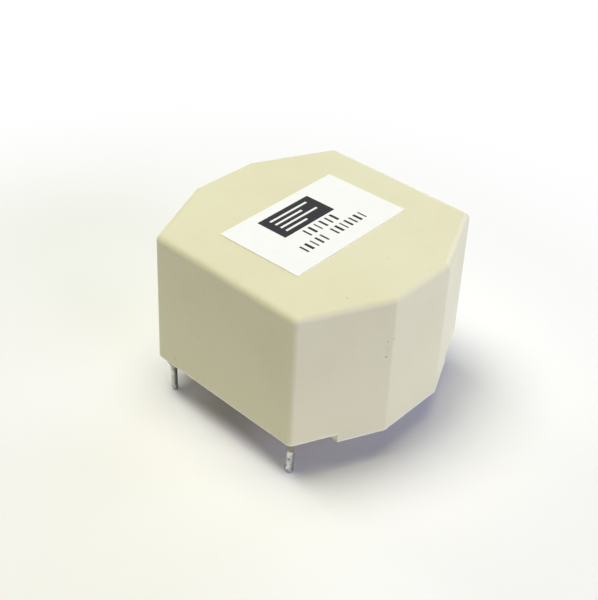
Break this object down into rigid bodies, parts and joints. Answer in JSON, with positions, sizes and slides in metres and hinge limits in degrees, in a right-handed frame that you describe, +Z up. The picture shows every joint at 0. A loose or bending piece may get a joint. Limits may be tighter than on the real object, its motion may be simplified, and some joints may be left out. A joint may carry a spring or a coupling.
{
  "type": "pcb transformer",
  "caption": "Small potted ring transformer in an eight-sided moulded housing, with round solder pins under its corners and a plain label on top.",
  "frame": {"origin": "middle of the four pins, in the plane of their tips", "axes": "+Z up from the board to the labelled roof, +X toward an end face, +Y toward the straight face on the primary side"},
  "size_m": [0.041, 0.0392, 0.0293],
  "materials": {
    "housing_plastic": "satin moulded, cream",
    "potting": "cast compound, olive brown",
    "core_steel": "edges of a wound strip",
    "insulation": "wrapped film",
    "primary_wire": "enamelled copper wire",
    "tape": "polyester tape",
    "secondary_wire": "enamelled copper wire",
    "pin_metal": "bright tin over copper",
    "solder": "solder",
    "sleeve": "woven glass sleeve",
    "label_paper": "white, matt"
  },
  "bodies": {
    "root": {"housing": "housing_plastic", "compound": "potting", "core": "core_steel", "core_insulation": "insulation", "primary_winding": "primary_wire", "winding_tape": "tape", "secondary_winding": "secondary_wire", "outer_tape": "tape", "primary_pin_left": "pin_metal", "primary_pin_right": "pin_metal", "secondary_pin_left": "pin_metal", "secondary_pin_right": "pin_metal", "primary_joint_left": "solder", "primary_joint_right": "solder", "secondary_joint_left": "solder", "secondary_joint_right": "solder", "primary_sleeve_left": "sleeve", "primary_sleeve_right": "sleeve", "secondary_sleeve_left": "sleeve", "secondary_sleeve_right": "sleeve", "label": "label_paper"}
  },
  "joints": []
}
